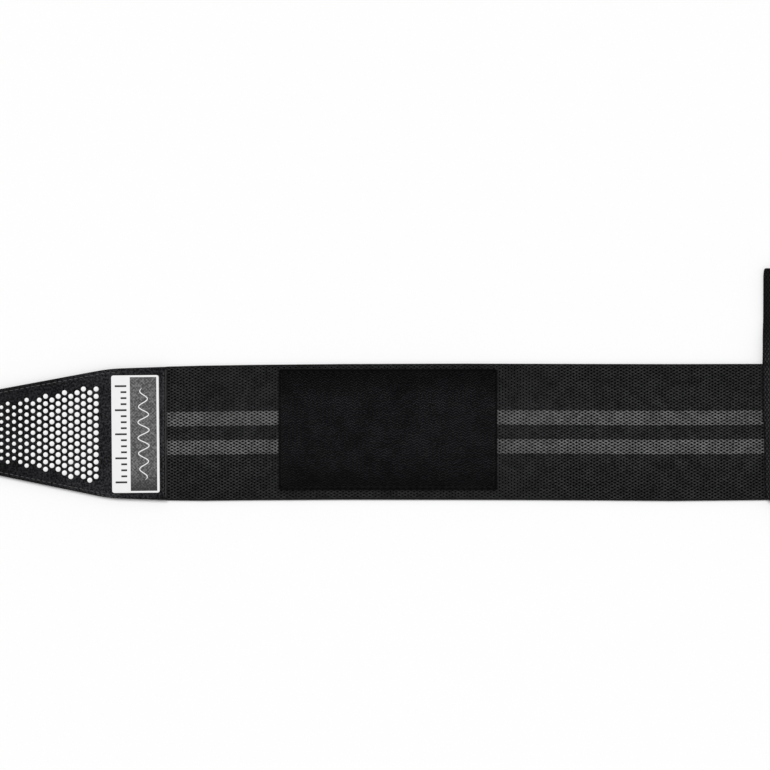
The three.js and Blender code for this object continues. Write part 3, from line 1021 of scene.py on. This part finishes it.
def pile_material(name, dark, light):
    """Brushed pile: near black, with a fine mottle and a faint broad one, and a rough nap as bump. Painted
    shade makes it darker towards its edges."""
    material, place = new_material(name, 1.0, 0.02, Sheen_Weight=0.03, Sheen_Roughness=0.6)
    fine = noise(place, 0.5 * MM, 3)
    mottle = weighted(noise(place, 9 * MM, 3), 0.35, fine)
    pile = greys(spread(mottle, 0.5, 0.85), dark, light, 0.13)
    # Painted shade: darker towards the patch's edges, over a short reach along X and a broad one along Y.
    for number, axis, fade in ((0, "X", 2.4 * MM), (1, "Y", 21 * MM)):
        low, high = patch_low[number], patch_high[number]
        out = away_from(axis_of(place, axis), (low + high) / 2)
        pile = shaded(pile, spread(out, (high - low) / 2, (high - low) / 2 - fade), 0.4)
    return finished(material, pile, fine, 0.25 * MM)


def patch_height(x, y):
    """The height of the backing under the patch's stitches."""
    return np.full(x.shape, patch_high.z - PATCH_NAP - 0.2 * MM)


def inner_rectangle(low, high, inset):
    """The corners of a rectangle drawn in by inset, anticlockwise, and the first one again."""
    left, right = low.x + inset, high.x - inset
    near, far = low.y + inset, high.y - inset
    return np.array([[left, near], [right, near], [right, far], [left, far], [left, near]])


loop_patch = add_piece("pile_backing", [patch_plate()], pile_material("loop_pile", dark=0.002, light=0.007))
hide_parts("loop_patch")
loops = add_piece("pile_loops", [pile_loops()], pile_material("loop_yarn", dark=0.003, light=0.062))
corners = inner_rectangle(patch_low, patch_high, PATCH_STITCH)
rows_on_patch = [stitches(corners[i:i + 2], patch_height, 2.6 * MM, 0.9 * MM) for i in range(4)]
black_thread = thread_material("black_thread", dark=0.002, light=0.008)
patch_stitches = add_piece("patch_stitches", rows_on_patch, black_thread)


# Cross panel: a thin foam pad in black knit, top-stitched round its edge and sewn across the webbing's end.
# It lies level over the webbing, and its free end droops to the floor beyond the webbing's edge.

PANEL_STEP = 1.1 * MM
PANEL_EDGE_ROUND = 1.4 * MM
PANEL_CORNER = 1.2 * MM
PANEL_PUFF = 0.4 * MM
PANEL_PUFF_REACH = 8 * MM
PANEL_DROOP = 22 * MM
PANEL_STITCH = 2.2 * MM
PANEL_GROOVE = 0.45 * MM
PANEL_GROOVE_HALF = 0.8 * MM
PANEL_SETTLED = 0.9 * MM
PANEL_FOLD_DEPTH = 0.5 * MM
PANEL_FOLD_HALF = 0.9 * MM
PANEL_FOLD_INSET = 0.6 * MM
PANEL_LIFT = 2.1 * MM

# How the near edge is drawn in: up the panel, and the inset, each a share of the panel's size.
PANEL_NEAR_EDGE = np.array([
    (0.000, 0.036),
    (0.020, 0.020),
    (0.070, 0.012),
    (0.325, 0.009),
    (0.350, -0.003),
    (0.600, -0.002),
    (0.700, 0.002),
    (0.780, 0.008),
    (0.970, 0.009),
    (1.000, 0.015),
])

panel_length = panel_high.y - panel_low.y
panel_half = (panel_high.z - PANEL_LIFT) / 2
band_edge = band_middle + BAND_WIDTH / 2
fold_y = band_edge - PANEL_FOLD_INSET


def panel_x(x, y):
    """The near edge is drawn in by a share of the width that changes up the panel, with a small step where
    the cloth folds over the webbing. It fades to nothing at the far edge."""
    inset = np.interp((y - panel_low.y) / panel_length, PANEL_NEAR_EDGE[:, 0], PANEL_NEAR_EDGE[:, 1])
    return x + inset * (panel_high.x - x)


def panel_middle(y):
    """The height of the middle of the pad: level over the webbing, then an even fall to the floor."""
    return panel_half + PANEL_LIFT * (1 - smooth_step((y - band_edge - PANEL_LIFT) / PANEL_DROOP))


def panel_top(y, edge):
    """The panel's face: a rolled edge, a low puff, a groove under the stitches and a fold over the
    webbing's edge."""
    roll = rolled_edge(edge, PANEL_EDGE_ROUND, panel_half)
    puff = PANEL_PUFF * smooth_step((edge - PANEL_STITCH) / PANEL_PUFF_REACH)
    seam_dip = groove(edge - PANEL_STITCH, PANEL_GROOVE, PANEL_GROOVE_HALF)
    return panel_middle(y) + roll + puff + seam_dip + groove(y - fold_y, PANEL_FOLD_DEPTH, PANEL_FOLD_HALF)


def panel_pad():
    """The face and the underside over one grid, walled round the rim. Past the ends of the yarns the
    underside settles on the webbing's core. Returns the pad and each point's distance from its edge."""
    x, y, edge = plate_grid(panel_low, panel_high, PANEL_STEP, PANEL_CORNER, 1.6 * MM, 0.25 * MM)
    under = panel_middle(y) - rolled_edge(edge, PANEL_EDGE_ROUND, panel_half)
    over_core = smooth_step((band_edge - y) / (2 * MM)) * smooth_step((edge - 3 * MM) / (2.5 * MM))
    face = xyz(panel_x(x, y), y, panel_top(y, edge)).reshape(-1, 3)
    back = xyz(panel_x(x, y), y, under - PANEL_SETTLED * over_core).reshape(-1, 3)
    rim = rim_of(*x.shape)
    up = grid_quads(*x.shape)
    polygons = [up, up[:, ::-1] + x.size, ring_quads(rim + x.size, rim)]
    return (np.concatenate([face, back]), polygons), np.tile(edge.ravel(), 2)


def knit_material():
    """Knit cloth: columns of small stitches as bump, and mottled. Painted light and shade: lighter where it
    lies over the webbing, darker on its free end, and dark along its edge and in its fold."""
    material, place = new_material("panel_knit", 0.75, 0.06, Sheen_Weight=0.04, Sheen_Roughness=0.4)
    up_panel = axis_of(place, "Y")
    crossed = crossed_ribs(place, (0.09 * TURN, -0.09 * TURN), 1.5 * MM, Distortion=0.6)
    height = math("ADD", crossed, noise(place, 0.6 * MM, 3))
    tone = spread(height, 0.4, 1.1)
    # Painted light and shade: a lighter copy of the knit over the webbing and a darker one on the free end,
    # though the cloth is the same.
    shaded_knit = greys(tone, 0.001, 0.012, 0.1)
    lit_knit = greys(tone, 0.0005, 0.037, 0.1)
    lit_over_band = spread(up_panel, band_edge + 20 * MM, band_edge + 2 * MM)
    knit = mixed(lit_over_band, shaded_knit, lit_knit)
    # Painted shade in the fold over the webbing's edge.
    knit = shaded(knit, spread(away_from(up_panel, fold_y), 0, 1.7 * MM), 0.45)
    # Painted shade along the pad's edge, for its edge shadow.
    knit = painted_edge_shade(knit, 0.3 * MM, 1.3 * MM, 0.25)
    return finished(material, knit, height, 0.15 * MM)


def panel_stitch_height(x, y):
    """The height of the panel's face in its stitch groove."""
    return panel_top(y, np.full(x.shape, PANEL_STITCH))


def panel_stitch_rows():
    """Four rows parallel to the panel's edges, moved with its near edge."""
    corners = inner_rectangle(panel_low, panel_high, PANEL_STITCH)
    rows = []
    for i in range(4):
        row = spaced(corners[i:i + 2], 1 * MM)
        row[:, 0] = panel_x(row[:, 0], row[:, 1])
        rows.append(stitches(row, panel_stitch_height, 2.4 * MM, 0.8 * MM))
    return rows


pad, pad_edge = panel_pad()
cross_panel = add_piece("panel_pad", [pad], knit_material(), edge=pad_edge)
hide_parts("cross_panel")
panel_stitches = add_piece("panel_stitches", panel_stitch_rows(), black_thread)


# Floor, light and camera. The camera looks straight down from a long way off, as in the photograph, so that
# one pixel of 770 covers 0.55 mm of the webbing.

PIXEL = 0.55 * MM
PICTURE = 770
LENS = 100
SENSOR = 36
TAB_EDGE_PIXEL = 166.5
MIDDLE_PIXEL = 432
FLOOR_SIZE = 8
FLOOR_DROP = 0.05 * MM
SKY_STRENGTH = 0.5
LAMP_STRENGTH = 2.05
LAMP_SOFTNESS = 0.5
LAMP_TURN = (-0.42, -0.3, 0)


def pale_floor():
    """A broad white floor just under the wrap."""
    bpy.ops.mesh.primitive_plane_add(size=FLOOR_SIZE, location=(0, 0, -FLOOR_DROP))
    floor = bpy.context.object
    floor.name = "floor"
    material, place = new_material("floor_paper", 0.9, 0.1)
    finished(material, greys(noise(place, 0.3, 1), 0.925, 0.93))
    floor.data.materials.append(material)


def studio_light():
    """Even light from all round, and one broad soft lamp from the upper left."""
    world = bpy.data.worlds.new("studio")
    world.use_nodes = True
    sky = world.node_tree.nodes["Background"]
    sky.inputs["Color"].default_value = (1, 1, 1, 1)
    sky.inputs["Strength"].default_value = SKY_STRENGTH
    bpy.context.scene.world = world
    lamp = bpy.data.lights.new("softbox", "SUN")
    lamp.energy = LAMP_STRENGTH
    lamp.angle = LAMP_SOFTNESS
    holder = bpy.data.objects.new("softbox", lamp)
    holder.rotation_euler = LAMP_TURN
    bpy.context.scene.collection.objects.link(holder)


def photo_camera():
    """Straight down over the middle of the picture, from where the picture's width covers its pixels."""
    lens = bpy.data.cameras.new("camera")
    lens.lens = LENS
    lens.sensor_width = SENSOR
    lens.clip_end = 20
    camera = bpy.data.objects.new("camera", lens)
    x = tab_high.x + (PICTURE / 2 - TAB_EDGE_PIXEL) * PIXEL
    y = band_middle + (MIDDLE_PIXEL - PICTURE / 2) * PIXEL
    camera.location = (x, y, band_high.z + PICTURE * PIXEL * LENS / SENSOR)
    bpy.context.scene.collection.objects.link(camera)
    bpy.context.scene.camera = camera


pale_floor()
studio_light()
photo_camera()
bpy.context.scene.view_settings.view_transform = "Standard"
